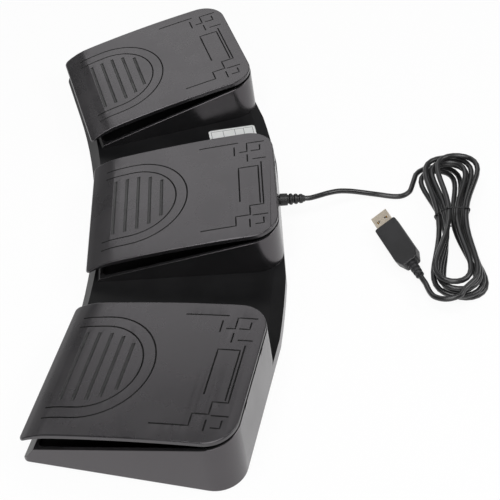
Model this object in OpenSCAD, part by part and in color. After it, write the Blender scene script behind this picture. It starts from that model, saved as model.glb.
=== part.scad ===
// Three-pedal USB foot switch: a fan-shaped base with three sprung pedal plates,
// a microswitch under each plate, a controller board and a bundled USB cable.
// X runs across the pedals, Y from the nose to the rear, Z up from the floor.

/* [Pedals] */
// Length of a pedal plate from its nose to its rear edge
pedal_l = 125; // [118:1:132]
// Width of a pedal plate
pedal_w = 102.5; // [96:0.5:106]
// Thickness of a pedal plate
plate_t = 3.2; // [2.6:0.1:3.6]
// Radius of the two rear corners of a plate
plate_corner_r = 18; // [12:1:22]
// Radius of the two front corners of a plate
plate_nose_r = 3; // [2:0.5:6]
// Height of a plate's top at its rear edge
plate_rear_h = 43.4; // [42:0.2:47]
// Fall of a plate at its rear edge, per unit of length
plate_slope = 0.091; // [0.08:0.001:0.1]
// Extra fall from the bow of a plate, per unit of length
plate_bow = 0.073; // [0.06:0.001:0.08]
// Drop of the rounded nose of a plate
nose_drop = 4.5; // [3:0.1:5.5]
// Length of the rounded nose of a plate
nose_l = 18.8; // [14:0.2:24]
// Thickness of a plate at the tip of its nose
nose_t = 1.8; // [1.4:0.1:2.4]
// Angle through which a pedal is pressed
press_angle = 3; // [2:0.1:3.2]

/* [Hinges] */
// Distance of the hinge axis ahead of the plate's rear edge
hinge_inset = 10; // [9:0.5:13]
// Height of the hinge axis above the floor
hinge_h = 31; // [29:0.5:32]
// Diameter of the hinge pin
pin_d = 3; // [2.5:0.1:4]
// Wall of plastic round the hinge pin
pin_wall = 3; // [2.5:0.1:3.5]
// Width of each hinge ear and of each hinge post
ear_t = 6; // [4:0.5:7]
// Distance of a hinge post's outer face inside the plate's side edge
post_inset = 5.2; // [4.8:0.1:7]

/* [Base] */
// Angle between neighbouring pedals
fan_angle = 14.84; // [14:0.01:16]
// Radius of the fan at the pedals' noses
front_r = 512; // [500:1:540]
// Height of the deck between the pedals above the base's lower edge
deck_h = 9.5; // [9:0.1:10.5]
// Thickness of the deck
deck_t = 2.4; // [2:0.1:2.8]
// Thickness of the base's walls
wall_t = 2.4; // [1.8:0.1:2.8]
// Depth of the sloping front edge
bevel_d = 6.5; // [5:0.1:8]
// How far the side walls stand outside the plates at the bottom
side_flare = 1.8; // [1.2:0.1:2.6]
// How far the side walls stand outside the plates at the rim
side_lip = 0.7; // [0.4:0.1:1.1]
// How far the rear walls stand behind the plates at the bottom
rear_flare = 3; // [2.4:0.1:4]
// How far the rear walls stand behind the plates at the rim
rear_lip = 0.4; // [0.3:0.1:1]
// Radius of the housings' front corners
front_corner_r = 4; // [3:0.5:6]
// Gap between the rim and a plate at the rear
rim_gap = 0.5; // [0.4:0.1:1]
// Height of the rim above the deck at the nose
rim_front_h = 0.75; // [0.4:0.05:1.5]
// Distance of a tray's front wall behind the nose
tray_inset = 10.4; // [10:0.1:14]
// Bulge of the rear edge between the housings
valley_bulge = 2.5; // [1.5:0.1:3]
// Depth of the shallow slope along the rear edge of the deck
valley_bevel_d = 8.5; // [6:0.5:10]
// Drop of the shallow slope along the rear edge of the deck
valley_drop = 1.8; // [1:0.1:2.5]

/* [Underside] */
// Thickness of the bottom cover
cover_t = 2; // [1.8:0.1:2.2]
// Gap round the bottom cover
cover_gap = 0.3; // [0.2:0.05:0.5]
// Diameter of a rubber foot
foot_d = 12; // [8:0.5:14]
// How far the rubber feet stand below the base
foot_proud = 1.2; // [1:0.1:2]
// Depth of the recess that holds a rubber foot
foot_recess = 0.8; // [0.5:0.1:1]
// Diameter of a screw's thread
screw_d = 2.2; // [2:0.1:2.6]
// Diameter of a screw's head
screw_head_d = 5; // [4:0.1:5.5]
// Height of a screw's head
screw_head_h = 1.1; // [0.8:0.1:1.3]

/* [Switches and springs] */
// Distance of the switch plunger ahead of the hinge axis
plunger_reach = 20; // [18:0.5:23]
// Length of a microswitch
switch_l = 19.8; // [18:0.2:21]
// Width of a microswitch
switch_w = 6.4; // [5.5:0.1:7.5]
// Height of a microswitch
switch_h = 10; // [9:0.1:10.6]
// Height of the seat under a microswitch
switch_seat_h = 5.5; // [4.5:0.1:6]
// Diameter of a switch plunger
plunger_d = 2.8; // [2.2:0.1:3.4]
// How far a switch plunger stands out of its case
plunger_proud = 1.5; // [1.4:0.05:1.8]
// Distance of the return spring ahead of the hinge axis
spring_reach = 58; // [54:0.5:62]
// Outside diameter of a return spring
spring_d = 12; // [10:0.5:13]
// Wire diameter of a return spring
spring_wire = 1.2; // [0.8:0.1:1.4]
// Number of turns in a return spring
spring_turns = 6; // [5:1:7]

/* [Board] */
// Width of the controller board
board_w = 28; // [24:0.5:30]
// Length of the controller board
board_l = 32; // [28:0.5:34]
// Thickness of the controller board
board_t = 1.2; // [1:0.1:1.6]
// Height of the posts under the controller board
board_stand = 1.5; // [1.2:0.1:2]

/* [Label] */
// Length of the label on the deck
label_l = 34; // [24:1:40]
// Width of the label on the deck
label_w = 30; // [20:1:34]

/* [Cable] */
// Diameter of the cable
cable_d = 3.6; // [3.4:0.05:3.65]
// Length of the ribbed sleeve outside the base
sleeve_l = 17; // [14:0.5:17]
// Largest diameter of the ribbed sleeve
sleeve_d = 8.4; // [7.6:0.1:8.8]
// Width of the plug's moulding
plug_w = 16; // [14:0.5:17]
// Length of the plug's moulding
plug_l = 38; // [34:0.5:40]
// Thickness of the plug's moulding
plug_t = 8.4; // [7.5:0.1:8.6]
// Length of the plug's ribbed tail
plug_tail_l = 12; // [10:0.5:14]
// Visible length of the plug's metal shell
shell_l = 11.5; // [9:0.5:12]

/* [Hidden] */
$fn = 48;

// Fine division of the wide arcs of the fan
ring_fn = 720;
// Thickness of the slices that a drafted block is stretched between
slice = 0.02;
// Overlap that keeps joined and cut solids clear of each other's faces
bite = 1;
// Clearances
pin_snug = 0.02;
pin_run = 0.05;
side_gap = 0.5;
seat_gap = 0.2;
press_gap = 0.15;
slide_gap = 0.08;
snug_gap = 0.05;

// Heights above the floor
base_z = foot_proud;
deck_top = base_z + deck_h;
deck_under = deck_top - deck_t;
cover_top = base_z + cover_t;
rim_rear_z = plate_rear_h - plate_t - rim_gap;
rim_nose_z = deck_top + rim_front_h;
rim_angle = atan((rim_rear_z - rim_nose_z) / pedal_l);

// Places along a pedal, measured from its hinge axis
nose_y = hinge_inset - pedal_l;
rear_y = hinge_inset + rear_flare;
hinge_r = front_r + pedal_l - hinge_inset;
valley_r = hinge_r + rear_y + valley_bulge;
corner_r = plate_corner_r + rear_lip;
half_w = pedal_w / 2 + side_flare;

// Insets of the hollow under the deck and of the cover from the base's lower edge
hollow_inset = wall_t + 0.6;
bevel_run = bevel_d / deck_h;
hollow_front = bevel_run * (deck_under - base_z) + wall_t + 0.6;
cover_inset = hollow_inset + cover_gap;
cover_front = hollow_front + cover_gap;

// The fan's centre lies ahead of the origin, so that the base is centred on the origin
corner_y = front_r * cos(fan_angle) - (half_w - front_corner_r) * sin(fan_angle)
  + front_corner_r * (cos(fan_angle) - 1);
fan_y = (hinge_r + rear_y + corner_y) / 2;

// Hinge parts across a pedal
post_out = pedal_w / 2 - post_inset;
ear_out = post_out - ear_t - side_gap;
ear_r = pin_d / 2 + pin_wall;
stop_u = 20;
stop_w = 4;
stop_d = 5;

// Switch, spring and rib places
switch_z = deck_top + switch_seat_h;
plunger_top = switch_z + switch_h + plunger_proud;
post_z = plunger_top + press_gap;
post_w = 5;
plunger_stroke = plunger_reach * press_angle * PI / 180;
plunger_in = 4;
clip_t = 1.6;
clip_h = 4;
spring_seat_r = spring_d / 2 + 2;
spring_seat_drop = 2.5;
spring_low = deck_top + seat_gap;
spring_high = plate_z(-spring_reach) - plate_t - spring_seat_drop - seat_gap;
spring_peg_r = spring_d / 2 - spring_wire - 0.6;
spring_peg_h = 4;
rib_t = 2;
rib_h = 4;
rib_u = ear_out + rib_t;
rib_rear = -10;
rib_back = 20;
rib_front = nose_y + rib_back;

// Cover screws and feet, as across and along places on each pedal
screw_u = 36;
screw_back = 17;
screw_front = nose_y + screw_back;
screw_rear = 1;
boss_r = screw_d / 2 + 2.4;
foot_u = 22;
foot_back = 20;
foot_front = nose_y + foot_back;
foot_rear = 1;

// Board in the middle tray
board_u = -22;
board_back = 33;
board_y = nose_y + board_back;
board_z = deck_top + board_stand;
board_post_r = 2;
chip_w = 9;
chip_l = 9;
chip_t = 1.4;
connector_w = 9;
connector_l = 5;
connector_h = 5;

// Switch wires
wire_d = 2.2;
wire_sides = 6;
wire_low = (cover_top + deck_under) / 2;
wire_high = deck_top + wire_d / 2 + 0.4;
wire_back = 32;
wire_y = nose_y + wire_back;
wire_r = hinge_r + wire_y;
wire_u = 12;
wire_hole_r = wire_d / 2 + 0.9;
wire_bend = 7;
wire_straight = 16;
wire_dip = 7;
wire_over = 13;
wire_down = 20;
wire_end_in = 6;
left_wire_end = -26;
right_wire_end = -16;

// Cable exit through the middle housing's rear wall
exit_u = -10.9;
exit_z = 14.6;
exit_hole_r = 3.2;
flange_r = 3.7;
flange_t = 2;
sleeve_ribs = 5;
sleeve_tip_d = cable_d + 1.6;
sleeve_start = rear_at(exit_z - sleeve_d / 2) + snug_gap;
sleeve_inner = rear_at(exit_z + flange_r) - wall_t - snug_gap;
exit_y = hinge_r - fan_y + sleeve_start + sleeve_l;

// Hank: loops of cable in four layers, drawn in at the waist
hank_at = [15.5, 192];
hank_turn = -5;
hank_half_l = 66;
hank_waist = 9.5;
hank_swell_near = 27.7;
hank_swell_far = 29;
step_l = 4.6;
step_waist = 5.3;
step_swell = 2.8;
layer_turns = 1.5;
layer_rise = 4.15;
layers = 4;
climb_turns = 0.3;
layer_fan = [6.2, 0.6, -0.5, -5.2];
fan_pivot = 11.6;
waist_lift = 1;
rings_per_loop = 24;
hank_sides = 6;
hank_first = 55 / 360;
hank_last = layers * layer_turns - 110 / 360;
tie_h = -5;
tie_w = 2.2;
tie_t = 0.8;
tie_gap = 0.15;
tie_side_gap = 0.5;
tie_r = 2.5;

// Plug lying beside the hank
plug_at = [51, 160, 8];
plug_turn = 198.3;
plug_roll = -30;
plug_taper_l = 7;
plug_rear_w = 10;
plug_ribs = 4;
shell_w = 12;
shell_h = 4.5;
shell_wall = 0.3;
shell_in = 8;
window_w = 2.3;
window_l = 2;
window_gap = 2.9;
insert_h = 1.9;
contact_w = 1;
contact_t = 0.15;
contact_pitch = [-3.5, -1, 1, 3.5];

// Free stretch from the sleeve to the hank, laid along the floor
lead_sides = 8;
lead_points = [
  [-12.4, 104.5, 14.7], [-15.2, 111.5, 14.2], [-18.5, 119, 12.4], [-21.3, 127, 9.2], [-23.2, 134.9, 5.8],
  [-23.9, 142.6, 3.2], [-23.4, 148.2, 2.2], [-22.2, 153, 1.9], [-21.1, 157.6, 1.9], [-20.9, 161.4, 1.9],
  [-21.8, 164.5, 1.9], [-23.6, 167.2, 1.9], [-26.1, 169.3, 1.9]
];
// Free stretch from the hank's top layer down to the plug
tail_points = [
  [86.2, 185.3, 13.9], [87.7, 181.1, 13.2], [87.6, 176.5, 12.2], [85.7, 172.4, 11.1],
  [82.5, 169.2, 10], [78.2, 167.6, 9], [73.7, 166.8, 8.3]
];

label_back = 104;
label_r = front_r + label_back;
label_side = -2;
label_t = 0.2;

// How far into the rounded nose a place along the pedal lies, squared
function nose_part(y) = pow(max(0, nose_y + nose_l - y) / nose_l, 2);
// Top and underside of a plate at a place along the pedal
function plate_z(y) =
  let (t = (hinge_inset - y) / pedal_l)
  plate_rear_h - pedal_l * (plate_slope * t + plate_bow * t * t) - nose_drop * nose_part(y);
function plate_low(y) = plate_z(y) - plate_t + (plate_t - nose_t) * nose_part(y);

// Rear face and half width of a drafted housing at a height
function draft(z) = (z - base_z) / (rim_rear_z - base_z);
function rear_at(z) = hinge_inset + rear_flare - (rear_flare - rear_lip) * draft(z);
function half_at(z) = pedal_w / 2 + side_flare - (side_flare - side_lip) * draft(z);

// Directions and tubes along a path
function unit(v) = v / norm(v);
function tangents(p) =
  [for (i = [0 : len(p) - 1]) unit(p[min(i + 1, len(p) - 1)] - p[max(i - 1, 0)])];
function carried(n, t) = unit(n - (n * t) * t);
function first_normal(t) = carried(abs(t.z) < 0.9 ? [0, 0, 1] : [1, 0, 0], t);
function normals(t) =
  [for (i = 0, n = first_normal(t[0]); i < len(t); i = i + 1, n = carried(n, t[min(i, len(t) - 1)])) n];
function ring(p, t, n, d, sides) =
  [for (j = [0 : sides - 1]) p + d / 2 * (cos(360 * j / sides) * n + sin(360 * j / sides) * cross(t, n))];
function least_gap(p, d, skip) =
  min([for (i = [0 : len(p) - 1 - skip]) min([for (j = [i + skip : len(p) - 1]) norm(p[i] - p[j])])]) - d;

module tube_along(p, d, sides) {
  t = tangents(p);
  n = normals(t);
  last = (len(p) - 1) * sides;
  walls = [
    for (i = [0 : len(p) - 2], j = [0 : sides - 1])
      let (a = i * sides + j, b = i * sides + (j + 1) % sides)
      each [[a, a + sides, b + sides], [a, b + sides, b]]
  ];
  caps = [
    for (j = [1 : sides - 2])
      each [[0, j, j + 1], [last, last + j + 1, last + j]]
  ];
  polyhedron([for (i = [0 : len(p) - 1]) each ring(p[i], t[i], n[i], d, sides)], concat(walls, caps));
}

// Places of the pedals, the plug and the hank
module at_fan() translate([0, -fan_y, 0]) children();
module at_pedal(i) at_fan() rotate([0, 0, (1 - i) * fan_angle]) translate([0, hinge_r, 0]) children();
module at_plug() translate(plug_at) rotate([0, 0, plug_turn]) rotate([plug_roll, 0, 0]) children();
function from_pedal(i, p) =
  let (a = (1 - i) * fan_angle, r = hinge_r + p.y)
  [p.x * cos(a) - r * sin(a), p.x * sin(a) + r * cos(a) - fan_y, p.z];
function from_fan(a, r, z) = [r * sin(a), r * cos(a) - fan_y, z];
function from_hank(p) =
  [hank_at.x + p.x * cos(hank_turn) - p.y * sin(hank_turn),
   hank_at.y + p.x * sin(hank_turn) + p.y * cos(hank_turn), p.z];
function from_plug(x) =
  [plug_at.x + x * cos(plug_turn), plug_at.y + x * sin(plug_turn), plug_at.z];

// A profile in Y and Z stretched across X
module across(w) rotate([90, 0, 90]) translate([0, 0, -w / 2]) linear_extrude(w) children();

// A slab with two rounded rear corners and two rounded front corners
module rounded_slab(half, front, rear, r_front, r_rear, z, h) {
  translate([-half, front + r_front, z]) cube([2 * half, rear - r_rear - front - r_front, h]);
  translate([-half + r_front, front, z]) cube([2 * (half - r_front), rear - r_rear - front, h]);
  translate([-half + r_rear, rear - 2 * r_rear, z]) cube([2 * (half - r_rear), 2 * r_rear, h]);
  for (s = [-1, 1]) {
    translate([s * (half - r_front), front + r_front, z]) cylinder(r = r_front, h = h);
    translate([s * (half - r_rear), rear - r_rear, z]) cylinder(r = r_rear, h = h);
  }
}

// Everything behind a pedal's rear face, which leans forward as it rises
module behind(i, y, lean) {
  at_pedal(i) translate([-pedal_w, y, base_z]) rotate([lean, 0, 0]) translate([0, 0, -deck_h])
    cube([2 * pedal_w, 4 * rear_y, 3 * deck_h]);
}

// The base's footprint, moved in from its lower edge
module footprint(inset, front, z, h) {
  difference() {
    at_fan() rotate([0, 0, 90 - fan_angle]) rotate_extrude(angle = 2 * fan_angle, $fn = ring_fn)
      translate([front_r + front, z]) square([valley_r - inset - front_r - front, h]);
    for (i = [0 : 2]) behind(i, rear_y - inset, 0);
  }
  for (i = [0, 2]) at_pedal(i)
    rounded_slab(half_w - inset, nose_y + front, rear_y - inset, front_corner_r, corner_r - inset, z, h);
}

// Block with drafted side and rear walls, moved in by an inset
module drafted_block(inset, front, z0, z1) {
  r_rear = corner_r - inset;
  hull() for (z = [z0, z1 - slice], s = [-1, 1]) {
    translate([s * (half_at(z) - inset - r_rear), rear_at(z) - inset - r_rear, z])
      cylinder(r = r_rear, h = slice);
    translate([s * (half_at(z) - inset - front_corner_r), front + front_corner_r, z])
      cylinder(r = front_corner_r, h = slice);
  }
}

// What lies ahead of the sloping front edge
module ahead() {
  across(2 * pedal_w) polygon([
    [nose_y - bevel_run * base_z, 0],
    [nose_y + bevel_run * (rim_rear_z - base_z), rim_rear_z],
    [nose_y - bevel_d, rim_rear_z],
    [nose_y - bevel_d, 0]
  ]);
}

// Lower part of the base under a housing
module skirt() {
  difference() {
    drafted_block(0, nose_y, base_z, deck_top);
    ahead();
  }
}

// Walls round a tray, from the deck up to the sloping rim
module tray_walls() {
  difference() {
    drafted_block(0, nose_y, deck_top, rim_rear_z + bite);
    translate([-pedal_w, hinge_inset, rim_rear_z]) rotate([rim_angle, 0, 0])
      translate([0, -2 * pedal_l, 0]) cube([2 * pedal_w, 3 * pedal_l, rim_rear_z]);
    ahead();
    drafted_block(wall_t, nose_y + tray_inset, deck_top - bite, rim_rear_z + 2 * bite);
  }
}

module deck_ring() {
  difference() {
    at_fan() rotate([0, 0, 90 - fan_angle]) rotate_extrude(angle = 2 * fan_angle, $fn = ring_fn) polygon([
      [front_r, base_z],
      [valley_r, base_z],
      [valley_r - (rear_flare - rear_lip) * draft(deck_top - valley_drop), deck_top - valley_drop],
      [valley_r - valley_bevel_d, deck_top],
      [front_r + bevel_d, deck_top]
    ]);
    for (i = [0 : 2]) behind(i, rear_y, atan((rear_flare - rear_lip) / (rim_rear_z - base_z)));
  }
}

// Posts, seats and stops that stand on the deck inside a tray
module tray_fittings() {
  low = deck_top;
  for (s = [-1, 1]) {
    translate([s * (post_out - ear_t / 2), 0, 0]) {
      translate([-ear_t / 2, -ear_r, low]) cube([ear_t, 2 * ear_r, hinge_h - low]);
      translate([-ear_t / 2, 0, hinge_h]) rotate([0, 90, 0]) cylinder(r = ear_r, h = ear_t);
    }
    translate([s * stop_u - stop_w / 2, rear_y - wall_t - stop_d, low])
      cube([stop_w, stop_d, plate_z(rear_y - wall_t - stop_d) - plate_t - press_gap - low]);
    translate([-switch_w / 2 - clip_t, -plunger_reach - switch_l / 2 - clip_t - snug_gap, low])
      mirror([0, s > 0 ? 0 : 1, 0])
        translate([0, s > 0 ? 0 : -switch_l - 2 * clip_t - 2 * snug_gap, 0])
          cube([switch_w + 2 * clip_t, clip_t, switch_z + clip_h - low]);
  }
  translate([-switch_w / 2 - clip_t, -plunger_reach - switch_l / 2 - clip_t, low])
    cube([switch_w + 2 * clip_t, switch_l + 2 * clip_t, switch_z - low]);
  translate([0, -spring_reach, low]) cylinder(r = spring_peg_r, h = deck_top + spring_peg_h - low);
}

module screw_places() {
  for (i = [0 : 2], u = [-screw_u, screw_u], y = [screw_front, screw_rear])
    at_pedal(i) translate([u, y, 0]) children();
}

module foot_places() {
  for (i = [0, 2], u = [-foot_u, foot_u], y = [foot_front, foot_rear])
    at_pedal(i) translate([u, y, 0]) children();
}

module board_places() {
  for (s = [-1, 1]) at_pedal(1)
    translate([board_u + s * (board_w / 2 - 2 * board_post_r), board_y - s * (board_l / 2 - 2 * board_post_r), 0])
      children();
}

module base_deck() {
  color("#202022") difference() {
    union() {
      difference() {
        union() {
          deck_ring();
          for (i = [0 : 2]) at_pedal(i) skirt();
        }
        footprint(hollow_inset, hollow_front, base_z - bite, deck_under - base_z + bite);
      }
      screw_places() translate([0, 0, cover_top]) cylinder(r = boss_r, h = deck_under + deck_t / 2 - cover_top);
    }
    screw_places() translate([0, 0, cover_top - bite])
      cylinder(r = screw_d / 2 + pin_snug, h = deck_under - cover_top + bite);
    for (p = wire_holes()) translate([p.x, p.y, deck_under - bite])
      cylinder(r = wire_hole_r, h = deck_t + 2 * bite);
  }
}

// Walls of one pedal's tray with the posts and seats inside it
module housing(i) {
  color("#242426") difference() {
    union() {
      at_pedal(i) {
        tray_walls();
        tray_fittings();
      }
      if (i == 1) board_places() translate([0, 0, deck_top]) cylinder(r = board_post_r, h = board_stand);
    }
    at_pedal(i) translate([-post_out - bite, 0, hinge_h]) rotate([0, 90, 0])
      cylinder(r = pin_d / 2 + pin_snug, h = 2 * (post_out + bite));
    if (i == 1) at_pedal(i) translate([exit_u, rear_y + bite, exit_z]) rotate([90, 0, 0])
      cylinder(r = exit_hole_r, h = 4 * wall_t);
  }
}

module bottom_cover() {
  color("#262628") difference() {
    footprint(cover_inset, cover_front, base_z, cover_t);
    screw_places() translate([0, 0, base_z - bite]) {
      cylinder(r = screw_d / 2 + slide_gap, h = cover_t + 2 * bite);
      cylinder(r = screw_head_d / 2 + slide_gap, h = screw_head_h + bite);
    }
    foot_places() translate([0, 0, base_z - bite])
      cylinder(r = foot_d / 2 + slide_gap, h = foot_recess + bite);
  }
}

module cover_screws() {
  color("#9a9a9e") screw_places() translate([0, 0, base_z]) {
    cylinder(r = screw_head_d / 2, h = screw_head_h);
    cylinder(r = screw_d / 2, h = deck_under - base_z - bite / 2);
  }
}

module rubber_feet() {
  color("#303030") foot_places() cylinder(r = foot_d / 2, h = base_z + foot_recess);
}

// A band that follows the plate, from a depth inside it to a depth under it
module plate_band(w, from, to, upper, lower, steps) {
  ys = [for (k = [0 : steps]) from + (to - from) * k / steps];
  across(w) polygon(concat(
    [for (y = ys) [y, plate_z(y) - upper]],
    [for (k = [steps : -1 : 0]) [ys[k], plate_low(ys[k]) - lower]]
  ));
}

module pedal(i) {
  seat_top = plate_z(-spring_reach - spring_seat_r) - plate_t / 8;
  ear_top = plate_z(-ear_r) - plate_t / 2;
  color("#343436") at_pedal(i) difference() {
    union() {
      intersection() {
        plate_band(pedal_w, hinge_inset, nose_y, 0, 0, 24);
        rounded_slab(pedal_w / 2, nose_y, hinge_inset, plate_nose_r, plate_corner_r, 0, 2 * plate_rear_h);
      }
      for (s = [-1, 1]) {
        translate([s * (ear_out - ear_t / 2) - ear_t / 2, 0, 0]) {
          translate([0, -ear_r, hinge_h]) cube([ear_t, 2 * ear_r, ear_top - hinge_h]);
          translate([0, 0, hinge_h]) rotate([0, 90, 0]) cylinder(r = ear_r, h = ear_t);
        }
        translate([s * rib_u, 0, 0]) plate_band(rib_t, rib_rear, rib_front, plate_t / 2, rib_h, 12);
      }
      translate([-post_w / 2, -plunger_reach - post_w / 2, post_z])
        cube([post_w, post_w, plate_z(-plunger_reach - post_w / 2) - plate_t / 2 - post_z]);
      translate([0, -spring_reach, spring_high + seat_gap])
        cylinder(r = spring_seat_r, h = seat_top - spring_high - seat_gap);
      translate([0, -spring_reach, spring_high + seat_gap - spring_peg_h])
        cylinder(r = spring_peg_r, h = spring_peg_h + bite);
    }
    translate([-pedal_w / 2, 0, hinge_h]) rotate([0, 90, 0]) cylinder(r = pin_d / 2 + pin_run, h = pedal_w);
  }
}

module hinge_pin(i) {
  color("#c8c8cc") at_pedal(i) translate([-post_out, 0, hinge_h]) rotate([0, 90, 0])
    cylinder(r = pin_d / 2, h = 2 * post_out);
}

module return_spring(i) {
  coil_r = (spring_d - spring_wire) / 2;
  rise = spring_high - spring_low - spring_wire;
  coil = [
    for (k = [0 : 8 * spring_turns])
      from_pedal(i, [coil_r * cos(45 * k), coil_r * sin(45 * k) - spring_reach,
        spring_low + spring_wire / 2 + rise * k / (8 * spring_turns)])
  ];
  echo(spring_gap = least_gap(coil, spring_wire, 6));
  color("#b9bcc2") tube_along(coil, spring_wire, 6);
}

module microswitch(i) {
  color("#1a1a1a") at_pedal(i) difference() {
    translate([-switch_w / 2, -plunger_reach - switch_l / 2, switch_z]) cube([switch_w, switch_l, switch_h]);
    translate([0, -plunger_reach, switch_z + switch_h - plunger_in - plunger_stroke - bite])
      cylinder(r = plunger_d / 2 + slide_gap, h = plunger_in + plunger_stroke + 2 * bite);
  }
}

module plunger(i) {
  color("#b03a2e") at_pedal(i) translate([0, -plunger_reach, switch_z + switch_h - plunger_in])
    cylinder(r = plunger_d / 2, h = plunger_in + plunger_proud);
}

module controller_board() {
  color("#1f6b3a") at_pedal(1)
    translate([board_u - board_w / 2, board_y - board_l / 2, board_z]) cube([board_w, board_l, board_t]);
}

module controller_chip() {
  color("#151515") at_pedal(1)
    translate([board_u - chip_w / 2, board_y - chip_l / 2, board_z + board_t]) cube([chip_w, chip_l, chip_t]);
}

module cable_connector() {
  color("#e8e4d8") at_pedal(1)
    translate([exit_u - connector_w / 2, board_y + board_l / 2 - connector_l, board_z + board_t])
      cube([connector_w, connector_l, connector_h]);
}

// Wire from a side pedal's switch: along its tray, under the deck and up to the board
function side_wire(i, end_u) =
  let (s = i - 1, u = -s * wire_u, a0 = s * fan_angle + atan(u / wire_r), a1 = atan(end_u / wire_r),
    front = -plunger_reach - switch_l / 2 - clip_t - snug_gap, start_z = deck_top + 3, n = 12)
  concat(
    [for (p = [[0, front, start_z], [0, front - 3, start_z], [u / 3, front - wire_bend, wire_high + 0.6],
        [u, front - wire_straight, wire_high], [u, wire_y + wire_dip, wire_high], [u, wire_y + 2.5, wire_high - 0.6],
        [u, wire_y + 0.5, deck_top - 1.2]]) from_pedal(i, p)],
    [for (k = [0 : n]) from_fan(a0 + (a1 - a0) * (k + 0.3) / (n + 0.6), wire_r, wire_low)],
    [for (p = [[end_u - s * 0.4, wire_y, wire_low + 2], [end_u, wire_y, deck_under], [end_u, wire_y, board_z]])
      from_pedal(1, p)]
  );
function wire_holes() = [
  from_pedal(0, [wire_u, wire_y + 0.5, 0]), from_pedal(2, [-wire_u, wire_y + 0.5, 0]),
  from_pedal(1, [left_wire_end, wire_y, 0]), from_pedal(1, [right_wire_end, wire_y, 0])
];

module side_switch_wire(i, end_u) {
  color("#a02020") tube_along(side_wire(i, end_u), wire_d, wire_sides);
}

// The middle switch's wire arches over the inner cable and comes down on the board
module middle_switch_wire() {
  front = -plunger_reach - switch_l / 2 - clip_t - snug_gap;
  end = [board_u + 2, board_y + board_l / 2 - wire_end_in, board_z + board_t];
  over = exit_z + cable_d / 2 + wire_d / 2 + 1.5;
  color("#a02020") tube_along([
    for (p = [[0, front, deck_top + 3.6], [0, front - 3, deck_top + 3.8], [-2, front - wire_bend, over - 1.2],
        [exit_u + 2, front - wire_over, over], [exit_u - 5, front - wire_down, over - 0.6], end + [0.8, 3, 4.4],
        end + [0, 0.6, 2.6], end + [0, 0, 1.2], end])
      from_pedal(1, p)
  ], wire_d, wire_sides);
}

module label_sticker() {
  color("#e6e8e6") at_fan() rotate([0, 0, fan_angle / 2])
    translate([label_side - label_w / 2, label_r - label_l / 2, deck_top]) cube([label_w, label_l, label_t]);
}

module inner_cable() {
  start = sleeve_inner - flange_t;
  color("#161616") at_pedal(1) translate([exit_u, start, exit_z]) rotate([90, 0, 0])
    cylinder(d = cable_d, h = start - board_y - board_l / 2);
}

// Ribbed sleeve gripped by the rear wall
module cable_sleeve() {
  pitch = sleeve_l / sleeve_ribs;
  rib = pitch * 0.55;
  color("#18181a") at_pedal(1) translate([exit_u, 0, exit_z]) rotate([-90, 0, 0]) {
    translate([0, 0, sleeve_inner - flange_t]) cylinder(r = flange_r, h = flange_t);
    translate([0, 0, sleeve_inner]) cylinder(r = exit_hole_r - snug_gap, h = sleeve_start - sleeve_inner);
    translate([0, 0, sleeve_start]) cylinder(d1 = sleeve_d * 0.8, d2 = sleeve_tip_d, h = sleeve_l);
    for (k = [0 : sleeve_ribs - 1]) translate([0, 0, sleeve_start + k * pitch])
      cylinder(d = sleeve_d - k * (sleeve_d - sleeve_tip_d - 0.8) / sleeve_ribs, h = rib);
  }
}

// Centre line of the hank: the spiral runs in and out layer by layer
function spiral(t) =
  let (k = floor(t / layer_turns), part = t / layer_turns - k)
  layer_turns * (k % 2 == 0 ? part : 1 - part);
function smooth(x) = let (c = min(1, max(0, x))) c * c * (3 - 2 * c);
function climb(t, k) = k == 0 ? 0 : smooth((t - k * layer_turns) / climb_turns + 0.5) + climb(t, k - 1);
function fanned(p, up) =
  let (a = lookup(up, [for (k = [0 : layers - 1]) [k, layer_fan[k]]]), x = p.x - fan_pivot)
  [fan_pivot + x * cos(a) - p.y * sin(a), x * sin(a) + p.y * cos(a), p.z];
function hank_point(t) =
  let (a = 270 - 360 * t, e = spiral(t), c = cos(a), s = sin(a), up = climb(t, layers - 1),
    swell = (hank_swell_near + hank_swell_far) / 2 + c * (hank_swell_near - hank_swell_far) / 2)
  from_hank(fanned([
    (hank_half_l - step_l * e) * c,
    s * (hank_waist - step_waist * e + (swell - step_swell * e) * c * c),
    cable_d / 2 + waist_lift * s * s + layer_rise * up
  ], up));
hank_loops = [for (k = [0 : round((hank_last - hank_first) * rings_per_loop)])
  hank_point(hank_first + k / rings_per_loop)];
hank_in = hank_loops[0] + cable_d * unit(hank_loops[0] - hank_loops[1]);
hank_out = hank_loops[len(hank_loops) - 1]
  + cable_d * unit(hank_loops[len(hank_loops) - 1] - hank_loops[len(hank_loops) - 2]);

module cable_hank() {
  echo(hank_gap = least_gap(hank_loops, cable_d, rings_per_loop / 2));
  color("#161616") tube_along(concat([hank_in], hank_loops, [hank_out]), cable_d, hank_sides);
}

module cable_lead() {
  start = [exit_u, exit_y, exit_z];
  color("#161616") tube_along(concat(
    [start, start + [0, cable_d, 0]], lead_points,
    [hank_in + cable_d * unit(hank_in - hank_loops[0]), hank_in]
  ), cable_d, lead_sides);
}

module cable_tail() {
  end = from_plug(-plug_tail_l);
  color("#161616") tube_along(concat(
    [hank_out, hank_out + cable_d * unit(hank_out - hank_loops[len(hank_loops) - 1])], tail_points,
    [from_plug(-plug_tail_l - 2 * cable_d), from_plug(-plug_tail_l - cable_d), end]
  ), cable_d, lead_sides);
}

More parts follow.
